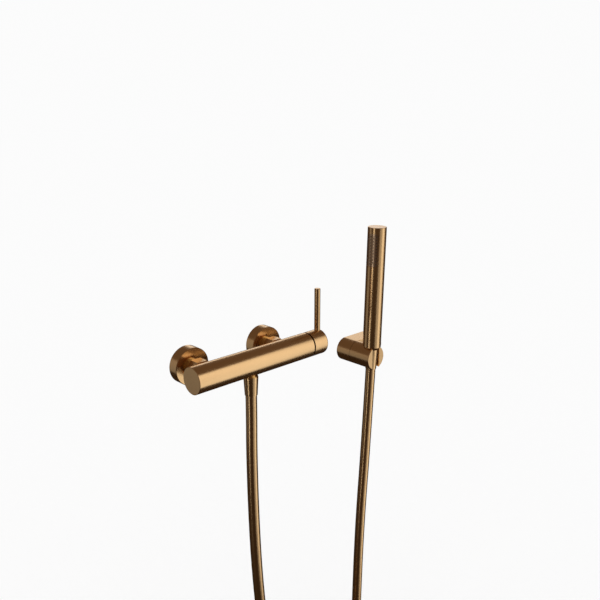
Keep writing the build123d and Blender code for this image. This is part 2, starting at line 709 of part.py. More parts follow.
def shower_inlet():
    """The turned foot of the hand shower, with its taper and hose thread."""
    spigot = SHOWER_R - SHOWER_WALL - THREAD_GAP
    low = CONNECTOR_LOW
    shape = turned(
        (TAIL_BORE_R, low), (HOSE_THREAD_R - 0.5, low), (HOSE_THREAD_R, low + 0.5),
        (HOSE_THREAD_R, RIM - TAPER), (NUT_TOP_D / 2, RIM - TAPER), (SHOWER_R, RIM), (spigot, RIM),
        (spigot, RIM + SPIGOT_LEN), (TAIL_BORE_R, RIM + SPIGOT_LEN))
    return lean() * (shape - rod(TAIL_BORE_R + 1.5, low, low + LIMITER_T + 1))


def flow_limiter():
    radius = TAIL_BORE_R + 1.5 - THREAD_GAP
    low = CONNECTOR_LOW + 1
    shape = rod(radius, low, low + LIMITER_T)
    for step in range(6):
        shape -= Rot(0, 0, 60 * step) * Pos(radius * 0.6, 0, 0) * rod(0.8, low, low + LIMITER_T)
    return lean() * shape


def shower_hose_washer():
    low = CONNECTOR_LOW - WASHER_T
    return lean() * ring(HOSE_THREAD_R - 0.3, TAIL_BORE_R, low, CONNECTOR_LOW)


def shower_hose_nut():
    shoulder = CONNECTOR_LOW - WASHER_T
    bore = HOSE_THREAD_R + THREAD_GAP
    sleeve = HOSE_D / 2 + SLEEVE_GAP
    shape = seat_cone(0, NUT_LOW, NUT_TOP)
    shape -= rod(bore, shoulder, NUT_TOP)
    shape -= rod(TAIL_BORE_R + 1, SLEEVE_TOP, shoulder)
    shape -= rod(sleeve, NUT_LOW, SLEEVE_TOP)
    return lean() * shape


def sub_parts():
    for side, x in INLETS.items():
        yield f"inlet_union_{side}", inlet_union(x)
        yield f"rosette_{side}", rosette(x)
        yield f"union_nut_{side}", union_nut(x)
        yield f"inlet_seal_{side}", inlet_seal(x)
        yield f"inlet_filter_{side}", inlet_filter(x)
        yield f"check_valve_{side}", check_valve(x)
    makers = (
        mixer_body, body_end_cap, end_cap_seal, outlet_nipple,
        port_seals, cartridge_base, fixed_disc, moving_disc, disc_carrier, cartridge_housing,
        cartridge_rotor, ring_nut, dome_cover,
        cap_stem, pivot_pin, handle_cap, lever_pin, handle_grub_screw,
        mixer_hose_washer, mixer_hose_nut, mixer_hose_tail, shower_hose,
        holder_base, wall_plate, holder_grub_screw,
        pivot_bolt, spring_washer, friction_ring, holder_barrel, seat_liner,
        shower_tube, shower_top_cap, spray_plate, spray_nozzles, spray_chamber, shower_waterway,
        shower_inlet, flow_limiter, shower_hose_washer, shower_hose_nut)
    for make in makers:
        yield make.__name__, make()


def main():
    os.makedirs("parts", exist_ok=True)
    for name, shape in sub_parts():
        export_step(shape, os.path.join("parts", f"{name}.step"))


main()
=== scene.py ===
"""Looks of a brushed copper bath mixer with its hose and stick hand shower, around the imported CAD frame."""
import json
import math

import bpy
from bpy.props import (
    BoolProperty,
    FloatProperty,
    FloatVectorProperty,
    IntProperty,
    PointerProperty,
)
from mathutils import Vector
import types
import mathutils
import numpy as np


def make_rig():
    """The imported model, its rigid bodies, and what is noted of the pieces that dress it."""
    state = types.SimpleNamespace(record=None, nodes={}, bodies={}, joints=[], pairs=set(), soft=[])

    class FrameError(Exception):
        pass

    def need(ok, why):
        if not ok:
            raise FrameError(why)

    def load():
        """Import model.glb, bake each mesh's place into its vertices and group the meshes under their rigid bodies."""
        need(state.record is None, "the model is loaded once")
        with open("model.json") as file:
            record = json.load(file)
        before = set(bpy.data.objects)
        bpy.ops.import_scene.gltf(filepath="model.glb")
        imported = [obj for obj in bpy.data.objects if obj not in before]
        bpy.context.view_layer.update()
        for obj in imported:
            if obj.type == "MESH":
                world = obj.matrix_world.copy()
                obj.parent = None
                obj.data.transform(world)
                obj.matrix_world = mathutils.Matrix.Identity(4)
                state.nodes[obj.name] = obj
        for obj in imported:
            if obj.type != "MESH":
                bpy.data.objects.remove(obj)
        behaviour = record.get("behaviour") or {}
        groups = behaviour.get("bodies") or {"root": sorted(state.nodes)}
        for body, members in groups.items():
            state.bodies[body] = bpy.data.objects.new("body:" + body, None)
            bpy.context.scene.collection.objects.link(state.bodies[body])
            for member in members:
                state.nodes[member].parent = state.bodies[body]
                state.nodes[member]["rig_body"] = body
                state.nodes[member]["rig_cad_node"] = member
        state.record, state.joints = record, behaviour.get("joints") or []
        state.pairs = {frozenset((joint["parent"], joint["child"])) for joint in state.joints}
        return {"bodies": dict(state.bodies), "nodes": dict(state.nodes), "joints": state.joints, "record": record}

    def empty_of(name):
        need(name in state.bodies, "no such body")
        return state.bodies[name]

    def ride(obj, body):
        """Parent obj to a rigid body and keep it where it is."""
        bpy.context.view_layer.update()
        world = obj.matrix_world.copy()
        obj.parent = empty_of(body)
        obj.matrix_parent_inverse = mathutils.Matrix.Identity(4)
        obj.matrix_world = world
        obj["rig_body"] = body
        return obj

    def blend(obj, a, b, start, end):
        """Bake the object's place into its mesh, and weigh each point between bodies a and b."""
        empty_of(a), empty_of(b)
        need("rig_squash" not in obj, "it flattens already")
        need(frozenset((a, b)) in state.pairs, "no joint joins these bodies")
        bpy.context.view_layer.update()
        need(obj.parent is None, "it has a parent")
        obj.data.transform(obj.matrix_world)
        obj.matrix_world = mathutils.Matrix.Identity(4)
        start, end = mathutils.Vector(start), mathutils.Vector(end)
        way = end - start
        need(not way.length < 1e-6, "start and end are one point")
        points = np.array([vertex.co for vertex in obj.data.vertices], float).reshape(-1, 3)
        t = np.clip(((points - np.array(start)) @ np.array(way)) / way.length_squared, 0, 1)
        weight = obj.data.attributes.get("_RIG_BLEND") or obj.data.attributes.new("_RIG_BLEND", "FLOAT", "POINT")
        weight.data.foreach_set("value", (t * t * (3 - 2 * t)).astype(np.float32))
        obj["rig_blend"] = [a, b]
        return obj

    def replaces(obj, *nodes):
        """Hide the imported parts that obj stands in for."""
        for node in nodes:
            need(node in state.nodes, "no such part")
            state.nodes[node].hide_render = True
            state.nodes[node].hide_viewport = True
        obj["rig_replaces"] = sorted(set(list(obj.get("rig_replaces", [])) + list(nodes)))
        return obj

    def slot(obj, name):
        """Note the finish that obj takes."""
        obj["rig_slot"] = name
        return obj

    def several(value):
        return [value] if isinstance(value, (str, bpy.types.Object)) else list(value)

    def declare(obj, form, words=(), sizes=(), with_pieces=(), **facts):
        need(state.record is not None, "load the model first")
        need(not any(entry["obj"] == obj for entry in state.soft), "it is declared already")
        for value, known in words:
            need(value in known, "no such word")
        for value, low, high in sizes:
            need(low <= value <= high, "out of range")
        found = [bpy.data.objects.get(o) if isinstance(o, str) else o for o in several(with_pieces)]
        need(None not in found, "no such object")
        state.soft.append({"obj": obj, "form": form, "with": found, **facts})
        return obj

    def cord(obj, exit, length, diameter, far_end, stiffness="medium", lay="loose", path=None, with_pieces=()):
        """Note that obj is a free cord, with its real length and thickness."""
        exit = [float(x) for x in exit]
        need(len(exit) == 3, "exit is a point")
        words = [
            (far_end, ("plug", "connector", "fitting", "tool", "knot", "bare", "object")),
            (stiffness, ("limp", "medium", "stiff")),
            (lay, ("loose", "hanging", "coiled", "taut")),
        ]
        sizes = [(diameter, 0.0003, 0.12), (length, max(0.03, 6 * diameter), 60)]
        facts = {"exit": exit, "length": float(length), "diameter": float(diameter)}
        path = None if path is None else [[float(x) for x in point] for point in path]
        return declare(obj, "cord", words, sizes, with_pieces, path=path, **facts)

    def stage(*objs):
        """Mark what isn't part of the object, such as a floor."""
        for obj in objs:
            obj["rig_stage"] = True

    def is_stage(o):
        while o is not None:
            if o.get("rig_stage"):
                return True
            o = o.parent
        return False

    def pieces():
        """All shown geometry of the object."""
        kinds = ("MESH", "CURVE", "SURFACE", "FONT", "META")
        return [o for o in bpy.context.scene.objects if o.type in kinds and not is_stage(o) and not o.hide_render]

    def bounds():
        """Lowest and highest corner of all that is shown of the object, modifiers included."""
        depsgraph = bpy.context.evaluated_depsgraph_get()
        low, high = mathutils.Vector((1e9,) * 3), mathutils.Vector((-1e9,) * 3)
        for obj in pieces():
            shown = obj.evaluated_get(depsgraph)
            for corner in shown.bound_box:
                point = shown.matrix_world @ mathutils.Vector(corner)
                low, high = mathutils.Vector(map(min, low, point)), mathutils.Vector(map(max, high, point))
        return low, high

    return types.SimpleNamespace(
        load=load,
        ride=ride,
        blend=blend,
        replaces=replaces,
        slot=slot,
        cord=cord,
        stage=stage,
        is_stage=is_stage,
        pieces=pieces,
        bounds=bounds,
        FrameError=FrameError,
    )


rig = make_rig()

bl_info = {
    "name": "Bath Mixer Looks",
    "version": (1, 0, 0),
    "blender": (4, 5, 0),
    "location": "View3D > Sidebar > Bath Mixer",
    "description": "Finishes, hose, spray nozzles and studio for a wall mounted bath mixer",
    "category": "Object",
}

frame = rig.load()
CAD_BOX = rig.bounds()

SIZE_FILE = "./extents.json"

# ---- where the hand shower stands: its axis leans into the room, about the holder's axis ----
SHOWER_LEAN = math.radians(1.25)
SHOWER_FOOT = Vector((0.287, -0.0676, -0.062))

# ---- the hose's route, from the mixer's nut to inside the hand shower's nut ----
HOSE_ROUTE = (
    (0.0000, -0.0655, -0.0530),
    (0.0000, -0.0655, -0.0920),
    (-0.0014, -0.0656, -0.1500),
    (-0.0004, -0.0659, -0.2580),
    (0.0032, -0.0670, -0.3680),
    (0.0110, -0.0690, -0.4780),
    (0.0240, -0.0710, -0.5800),
    (0.0420, -0.0725, -0.6620),
    (0.0770, -0.0735, -0.7080),
    (0.1280, -0.0740, -0.7310),
    (0.1820, -0.0740, -0.7280),
    (0.2290, -0.0735, -0.6995),
    (0.2565, -0.0720, -0.6515),
    (0.2600, -0.0705, -0.5600),
    (0.2635, -0.0690, -0.4640),
    (0.2693, -0.0675, -0.3700),
    (0.2773, -0.0663, -0.2750),
    (0.2834, -0.0656, -0.1820),
    (0.2867, -0.06704, -0.0875),
    (0.2870, -0.06756, -0.0640),
)
# the hose follows the wall before the first point and the holder after the second. This goes by the line
# between them only, so the run at the mixer, which is as high, wrongly follows the holder as well
HOSE_BEND_START = (0.2752, -0.0666, -0.300)
HOSE_BEND_END = (0.2862, -0.0668, -0.100)

# ---- which pieces have which finish; the copper ones by the line they were turned and brushed about ----
COPPER_ALONG_BODY = ("mixer_body", "body_end_cap", "handle_cap")
COPPER_OFF_WALL = (
    "rosette_hot", "rosette_cold", "union_nut_hot", "union_nut_cold", "holder_base", "holder_barrel",
)
COPPER_UPRIGHT = (
    "lever_pin", "mixer_hose_nut", "shower_tube", "shower_top_cap", "shower_inlet", "shower_hose_nut",
)
BRASS_PIECES = ("inlet_union_hot", "inlet_union_cold", "outlet_nipple", "ring_nut", "mixer_hose_tail")
RUBBER_PIECES = (
    "inlet_seal_hot", "inlet_seal_cold", "end_cap_seal", "port_seals", "mixer_hose_washer",
    "shower_hose_washer",
)
STEEL_PIECES = (
    "inlet_filter_hot", "inlet_filter_cold", "pivot_pin", "cap_stem", "handle_grub_screw",
    "holder_grub_screw", "wall_plate", "pivot_bolt", "spring_washer",
)
PLASTIC_PIECES = (
    "check_valve_hot", "check_valve_cold", "cartridge_base", "cartridge_housing", "cartridge_rotor",
    "disc_carrier", "spray_chamber", "shower_waterway", "flow_limiter",
)
DARK_PLASTIC_PIECES = ("friction_ring", "seat_liner")
# the dome cover shows in the gap between the body and the handle cap; its near black metal is painted shade for that
# gap, not its own colour
PAINTED_GAP_SHADE_PIECES = ("dome_cover",)
CERAMIC_PIECES = ("fixed_disc", "moving_disc")

# ---- finishes a user is not expected to change: pieces, name, colour, roughness, metallic ----
INNER_FINISHES = (
    (BRASS_PIECES, "turned_brass", (0.78, 0.58, 0.27), 0.28, 1.0),
    (RUBBER_PIECES, "seal_rubber", (0.02, 0.02, 0.02), 0.6, 0.0),
    (STEEL_PIECES, "stainless_steel", (0.60, 0.59, 0.57), 0.3, 1.0),
    (PLASTIC_PIECES, "engineering_plastic", (0.62, 0.61, 0.58), 0.45, 0.0),
    (CERAMIC_PIECES, "disc_ceramic", (0.86, 0.84, 0.79), 0.12, 0.0),
    # near black metal on the dome cover: painted shade in the gap between the body and the handle cap
    (PAINTED_GAP_SHADE_PIECES, "painted_gap_shade", (0.10, 0.06, 0.035), 0.35, 1.0),
    (DARK_PLASTIC_PIECES, "dark_plastic", (0.03, 0.028, 0.026), 0.5, 0.0),
)
SPRAY_METAL_COLOUR = (0.56, 0.40, 0.26)
SPRAY_METAL_ROUGHNESS = 0.3
SPRAY_METAL_SPREAD = 0.05
SILICONE_ROUGHNESS = 0.5

# ---- the studio: soft boxes by bearing and height in degrees, metres and watts, and the room ----
SOFT_BOX_AIM = (0.12, -0.05, 0.0)
SOFT_BOXES = (
    # name, azimuth, elevation, distance, size, power
    ("key_box", 40, -1, 2.4, (1.5, 4.7), 16),
    ("wide_box", 20, -1, 2.7, (3.0, 4.9), 19.5),
    ("left_strip", -86, 0, 2.2, (0.35, 2.6), 5.0),
    ("back_right_box", 140, 14, 2.6, (1.6, 0.9), 4.5),
    ("back_left_box", -138, -5, 2.6, (1.3, 2.0), 2.0),
)
BACKDROP_STRENGTH = 0.97
ROOM_LOW = (0.30, (0.036, 0.022, 0.013, 1))     # place on the ramp from straight down to straight up, colour
ROOM_HIGH = (0.62, (0.14, 0.092, 0.062, 1))
FLOOR_HALF = 40.0
FLOOR_ROUGHNESS = 0.9
SENSOR_WIDTH = 36.0
NOZZLE_SIDES = 14
BRUSH_CLOUD_SCALE = 22.0
BRUSH_TONE_FLOOR = 0.96


# ---- the sizes and colours a user would change ----
class MixerCopper(bpy.types.PropertyGroup):
    colour: FloatVectorProperty(
        name="Copper", description="Colour of the brushed copper coat", subtype="COLOR",
        size=3, min=0, max=1, default=(0.72, 0.475, 0.235))
    roughness: FloatProperty(
        name="Roughness", description="How dull the brushed coat is", subtype="FACTOR",
        min=0.05, max=1, default=0.24)
    spread: FloatProperty(
        name="Roughness spread", description="How much the brushing changes the roughness",
        min=0, max=0.5, default=0.07)
    line_pitch: FloatProperty(
        name="Line pitch", description="Distance between brush lines", subtype="DISTANCE",
        unit="LENGTH", min=0.0001, max=0.01, default=0.0007)
    line_length: FloatProperty(
        name="Line length", description="Length of a brush line", subtype="DISTANCE",
        unit="LENGTH", min=0.005, max=0.5, default=0.045)
    line_depth: FloatProperty(
        name="Line depth", description="Depth of the brush lines", subtype="DISTANCE",
        unit="LENGTH", precision=6, min=0, max=0.0001, default=0.000012)


class HoseSheath(bpy.types.PropertyGroup):
    diameter: FloatProperty(
        name="Diameter", description="Outside diameter of the hose", subtype="DISTANCE",
        unit="LENGTH", min=0.008, max=0.03, default=0.0184)
    length: FloatProperty(
        name="Length", description="Length of the hose between its nuts' seats", subtype="DISTANCE",
        unit="LENGTH", min=0.5, max=3, default=1.45)
    sides: IntProperty(
        name="Sides", description="Faces around the hose", min=3, max=16, default=9)
    colour: FloatVectorProperty(
        name="Sheath", description="Colour of the metallised sheath", subtype="COLOR",
        size=3, min=0, max=1, default=(0.70, 0.46, 0.23))
    roughness: FloatProperty(
        name="Roughness", description="How dull the sheath is", subtype="FACTOR",
        min=0.05, max=1, default=0.26)


class SprayNozzles(bpy.types.PropertyGroup):
    columns: IntProperty(
        name="Columns", description="Columns of nozzles around the hand shower", min=1, max=9, default=5)
    rows: IntProperty(
        name="Rows", description="Nozzles in a full column", min=2, max=20, default=10)
    column_step: FloatProperty(
        name="Column step", description="Angle between two columns", subtype="ANGLE",
        min=0.05, max=1, default=math.radians(20))
    row_pitch: FloatProperty(
        name="Row pitch", description="Distance between two nozzles of a column", subtype="DISTANCE",
        unit="LENGTH", min=0.002, max=0.02, default=0.0054)
    middle: FloatProperty(
        name="Middle", description="Middle of the spray strip above the holder's axis", subtype="DISTANCE",
        unit="LENGTH", min=0.05, max=0.3, default=0.2025)
    plate_radius: FloatProperty(
        name="Plate radius", description="Radius of the plate the nozzles stand on", subtype="DISTANCE",
        unit="LENGTH", min=0.005, max=0.05, default=0.0161)
    radius: FloatProperty(
        name="Nozzle radius", description="Radius of a nozzle's foot", subtype="DISTANCE",
        unit="LENGTH", precision=5, min=0.0003, max=0.003, default=0.00095)
    rise: FloatProperty(
        name="Rise", description="How far a nozzle stands proud of the plate", subtype="DISTANCE",
        unit="LENGTH", precision=5, min=0.0001, max=0.003, default=0.0007)
    foot: FloatProperty(
        name="Foot", description="How deep a nozzle stands in the plate", subtype="DISTANCE",
        unit="LENGTH", precision=5, min=0.0001, max=0.003, default=0.0009)
    colour: FloatVectorProperty(
        name="Silicone", description="Colour of the nozzles", subtype="COLOR",
        size=3, min=0, max=1, default=(0.045, 0.028, 0.018))


class MixerStudio(bpy.types.PropertyGroup):
    camera_place: FloatVectorProperty(
        name="Camera", description="Where the camera stands", subtype="TRANSLATION", unit="LENGTH",
        size=3, default=(-0.6353, -0.8365, 0.3736))
    azimuth: FloatProperty(
        name="Azimuth", description="Camera's turn about the upright, from facing the wall",
        subtype="ANGLE", default=math.radians(-43.88))
    elevation: FloatProperty(
        name="Elevation", description="Camera's height above the horizon", subtype="ANGLE",
        default=math.radians(15.33))
    lens: FloatProperty(
        name="Lens", description="Focal length in millimetres", min=10, max=200, default=41.05)
    floor_gap: FloatProperty(
        name="Floor gap", description="Drop from the hose's lowest point to the floor",
        subtype="DISTANCE", unit="LENGTH", min=0, max=1, default=0.03)
    floor_colour: FloatVectorProperty(
        name="Floor", description="Colour of the floor", subtype="COLOR", size=3, min=0, max=1,
        default=(1.0, 1.0, 1.0))
    use_floor: BoolProperty(name="Floor", description="Lay the pale floor", default=True)


# ---- material helpers ----
def new_material(name):
    """A material with only a Principled shader, and that shader."""
    material = bpy.data.materials.new(name)
    material.use_nodes = True
    return material, material.node_tree.nodes["Principled BSDF"]


def plain_finish(name, colour, roughness, metallic=0.0, **sockets):
    """A finish that is the same all over."""
    material, shader = new_material(name)
    shader.inputs["Base Color"].default_value = (*colour, 1)
    shader.inputs["Roughness"].default_value = roughness
    shader.inputs["Metallic"].default_value = metallic
    for socket, value in sockets.items():
        shader.inputs[socket.replace("_", " ")].default_value = value
    material.diffuse_color = (*colour, 1)
    return material


def group_socket(tree, name, way, kind, value=None):
    socket = tree.interface.new_socket(name=name, in_out=way, socket_type=kind)
    if value is not None:
        socket.default_value = value


def brush_lines_group():
    """Shader group: long fine lines, from object coordinates scaled along and across the brushing."""
    name = "Brush Lines"
    if name in bpy.data.node_groups:
        return bpy.data.node_groups[name]
    tree = bpy.data.node_groups.new(name, "ShaderNodeTree")
    group_socket(tree, "Lines per Metre", "INPUT", "NodeSocketVector", (20.0, 20.0, 1400.0))
    group_socket(tree, "Roughness", "INPUT", "NodeSocketFloat", 0.25)
    group_socket(tree, "Spread", "INPUT", "NodeSocketFloat", 0.06)
    group_socket(tree, "Colour", "INPUT", "NodeSocketColor", (0.7, 0.4, 0.2, 1))
    group_socket(tree, "Tone Change", "INPUT", "NodeSocketFloat", 0.08)
    group_socket(tree, "Colour", "OUTPUT", "NodeSocketColor")
    group_socket(tree, "Roughness", "OUTPUT", "NodeSocketFloat")
    group_socket(tree, "Height", "OUTPUT", "NodeSocketFloat")

    nodes, link = tree.nodes, tree.links.new
    given = nodes.new("NodeGroupInput")
    made = nodes.new("NodeGroupOutput")
    place = nodes.new("ShaderNodeTexCoord")
    stretch = nodes.new("ShaderNodeVectorMath")
    stretch.operation = "MULTIPLY"
    link(place.outputs["Object"], stretch.inputs[0])
    link(given.outputs["Lines per Metre"], stretch.inputs[1])
    lines = nodes.new("ShaderNodeTexNoise")
    lines.inputs["Scale"].default_value = 1.0
    lines.inputs["Detail"].default_value = 2.0
    link(stretch.outputs["Vector"], lines.inputs["Vector"])
    cloud = nodes.new("ShaderNodeTexNoise")
    cloud.inputs["Scale"].default_value = BRUSH_CLOUD_SCALE
    cloud.inputs["Detail"].default_value = 2.0
    link(place.outputs["Object"], cloud.inputs["Vector"])

    swing = nodes.new("ShaderNodeMath")
    swing.operation = "SUBTRACT"
    swing.inputs[1].default_value = 0.5
    link(lines.outputs["Fac"], swing.inputs[0])
    rough = nodes.new("ShaderNodeMath")
    rough.operation = "MULTIPLY_ADD"
    rough.use_clamp = True
    link(swing.outputs["Value"], rough.inputs[0])
    link(given.outputs["Spread"], rough.inputs[1])
    link(given.outputs["Roughness"], rough.inputs[2])

    tone = nodes.new("ShaderNodeMath")
    tone.operation = "MULTIPLY_ADD"
    link(cloud.outputs["Fac"], tone.inputs[0])
    link(given.outputs["Tone Change"], tone.inputs[1])
    tone.inputs[2].default_value = BRUSH_TONE_FLOOR
    tint = nodes.new("ShaderNodeVectorMath")
    tint.operation = "SCALE"
    link(given.outputs["Colour"], tint.inputs[0])
    link(tone.outputs["Value"], tint.inputs["Scale"])

    link(tint.outputs["Vector"], made.inputs["Colour"])
    link(rough.outputs["Value"], made.inputs["Roughness"])
    link(lines.outputs["Fac"], made.inputs["Height"])
    return tree


def brushed_finish(name, colour, along, roughness, spread, pitch, length, depth, metallic=1.0):
    """A brushed metal whose lines run around the axis `along`, so they are close together on it."""
    material, shader = new_material(name)
    nodes, link = material.node_tree.nodes, material.node_tree.links.new
    lines = nodes.new("ShaderNodeGroup")
    lines.node_tree = brush_lines_group()
    density = [1 / length] * 3
    density["XYZ".index(along)] = 1 / pitch
    lines.inputs["Lines per Metre"].default_value = density
    lines.inputs["Roughness"].default_value = roughness
    lines.inputs["Spread"].default_value = spread
    lines.inputs["Colour"].default_value = (*colour, 1)
    bump = nodes.new("ShaderNodeBump")
    bump.inputs["Strength"].default_value = 1.0
    bump.inputs["Distance"].default_value = depth
    link(lines.outputs["Height"], bump.inputs["Height"])
    link(lines.outputs["Colour"], shader.inputs["Base Color"])
    link(lines.outputs["Roughness"], shader.inputs["Roughness"])
    link(bump.outputs["Normal"], shader.inputs["Normal"])
    shader.inputs["Metallic"].default_value = metallic
    material.diffuse_color = (*colour, 1)
    return material


def give(nodes, material):
    """Puts a material on CAD nodes' own slots."""
    for name in nodes:
        for slot in frame["nodes"][name].material_slots:
            slot.material = material


def finish_mesh(name, source, material):
    """A plain mesh object from an evaluated curve or modified object, with its place in the mesh."""
    graph = bpy.context.evaluated_depsgraph_get()
    mesh = bpy.data.meshes.new_from_object(source.evaluated_get(graph), depsgraph=graph)
    mesh.name = name
    mesh.materials.clear()
    mesh.materials.append(material)
    for face in mesh.polygons:
        face.material_index = 0
    piece = bpy.data.objects.new(name, mesh)
    bpy.context.scene.collection.objects.link(piece)
    return piece


# ---- pieces ----
def hose_curve():
    """The hose's centre line as one open spline through its route."""
    curve = bpy.data.curves.new("hose_line", "CURVE")
    curve.dimensions = "3D"
    curve.resolution_u = 14
    spline = curve.splines.new("NURBS")
    spline.points.add(len(HOSE_ROUTE) - 1)
    for point, place in zip(spline.points, HOSE_ROUTE):
        point.co = (*place, 1)
    spline.order_u = 3
    spline.use_endpoint_u = True
    line = bpy.data.objects.new("hose_line", curve)
    bpy.context.scene.collection.objects.link(line)
    return line


class BATHMIXER_OT_camera(bpy.types.Operator):
    """Stand the camera up and to the left of the mixer"""
    bl_idname = "bathmixer.camera"
    bl_label = "Camera"

    def execute(self, context):
        studio = context.scene.mixer_studio
        turn, tilt = studio.azimuth, studio.elevation
        back = Vector((math.sin(turn) * math.cos(tilt), -math.cos(turn) * math.cos(tilt), math.sin(tilt)))
        data = bpy.data.cameras.new("camera")
        data.lens = studio.lens
        data.sensor_width = SENSOR_WIDTH
        camera = bpy.data.objects.new("camera", data)
        camera.location = studio.camera_place
        camera.rotation_euler = (-back).to_track_quat("-Z", "Y").to_euler()
        context.scene.collection.objects.link(camera)
        context.scene.camera = camera
        return {"FINISHED"}


class BATHMIXER_OT_hose(bpy.types.Operator):
    """Hang the shower hose between the mixer's nut and the hand shower's nut"""
    bl_idname = "bathmixer.hose"
    bl_label = "Shower hose"

    def execute(self, context):
        sheath = context.scene.mixer_hose
        line = hose_curve()
        context.view_layer.update()
        graph = context.evaluated_depsgraph_get()
        centre = bpy.data.meshes.new_from_object(line.evaluated_get(graph), depsgraph=graph)
        path = [tuple(vertex.co) for vertex in centre.vertices]
        bpy.data.meshes.remove(centre)
        line.data.bevel_depth = sheath.diameter / 2
        line.data.bevel_resolution = sheath.sides
        line.data.use_fill_caps = True
        context.view_layer.update()
        material = plain_finish("hose_sheath", sheath.colour, sheath.roughness, metallic=1.0)
        hose = finish_mesh("hose_sheath", line, material)
        for face in hose.data.polygons:
            face.use_smooth = True
        bpy.data.objects.remove(line)
        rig.replaces(hose, "shower_hose")
        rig.slot(hose, "hose_skin")
        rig.blend(hose, "root", "holder_swivel", start=HOSE_BEND_START, end=HOSE_BEND_END)
        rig.cord(
            hose, exit=HOSE_ROUTE[0], length=sheath.length, diameter=sheath.diameter,
            far_end="object", stiffness="medium", lay="hanging", path=path)
        return {"FINISHED"}


class BATHMIXER_OT_copper(bpy.types.Operator):
    """Give the copper coated pieces their brushed finish"""
    bl_idname = "bathmixer.copper"
    bl_label = "Brushed copper"

    def execute(self, context):
        copper = context.scene.mixer_copper
        for along, pieces in (("X", COPPER_ALONG_BODY), ("Y", COPPER_OFF_WALL), ("Z", COPPER_UPRIGHT)):
            material = brushed_finish(
                f"brushed_copper_{along.lower()}", copper.colour, along, copper.roughness,
                copper.spread, copper.line_pitch, copper.line_length, copper.line_depth)
            give(pieces, material)
        spray = brushed_finish(
            "spray_metal", SPRAY_METAL_COLOUR, "Z", SPRAY_METAL_ROUGHNESS, SPRAY_METAL_SPREAD,
            copper.line_pitch, copper.line_length, copper.line_depth)
        give(["spray_plate"], spray)
        return {"FINISHED"}


class BATHMIXER_OT_inner_pieces(bpy.types.Operator):
    """Give the pieces inside and behind the mixer their finishes"""
    bl_idname = "bathmixer.inner_pieces"
    bl_label = "Inner pieces"

    def execute(self, context):
        for pieces, name, colour, roughness, metallic in INNER_FINISHES:
            give(pieces, plain_finish(name, colour, roughness, metallic))
        return {"FINISHED"}


# ---- spray nozzles ----
def math_node(tree, operation, first, second=None, third=None):
    """A Math node, fed by sockets or plain numbers; its output."""
    node = tree.nodes.new("ShaderNodeMath")
    node.operation = operation
    for socket, value in zip(node.inputs, (first, second, third)):
        if isinstance(value, bpy.types.NodeSocket):
            tree.links.new(value, socket)
        elif value is not None:
            socket.default_value = value
    return node.outputs["Value"]


def nozzle_shape(tree, radius, foot, rise):
    """One nozzle along +Z: a short round post with a sunk mouth. Its foot is at the origin."""
    nodes, link = tree.nodes, tree.links.new
    disc = nodes.new("GeometryNodeMeshCircle")
    disc.fill_type = "NGON"
    disc.inputs["Vertices"].default_value = NOZZLE_SIDES
    link(radius, disc.inputs["Radius"])
    geometry, top = disc.outputs["Mesh"], None
    height = math_node(tree, "ADD", foot, rise)
    mouth_depth = math_node(tree, "MULTIPLY", rise, -1.0)
    steps = (
        (math_node(tree, "MULTIPLY", height, 0.82), 1.0),    # the post
        (math_node(tree, "MULTIPLY", height, 0.18), 0.80),   # its bevelled end
        (0.0, 0.52),                                         # the mouth's rim
        (mouth_depth, 0.9),                                  # the mouth
    )
    for offset, scale in steps:
        pull = nodes.new("GeometryNodeExtrudeMesh")
        pull.mode = "FACES"
        pull.inputs["Individual"].default_value = False
        link(geometry, pull.inputs["Mesh"])
        if top is not None:
            link(top, pull.inputs["Selection"])
        if isinstance(offset, bpy.types.NodeSocket):
            link(offset, pull.inputs["Offset Scale"])
        else:
            pull.inputs["Offset Scale"].default_value = offset
        top = pull.outputs["Top"]
        geometry = pull.outputs["Mesh"]
        if scale != 1.0:
            size = nodes.new("GeometryNodeScaleElements")
            size.domain = "FACE"
            size.inputs["Scale"].default_value = scale
            link(geometry, size.inputs["Geometry"])
            link(top, size.inputs["Selection"])
            geometry = size.outputs["Geometry"]
    return geometry


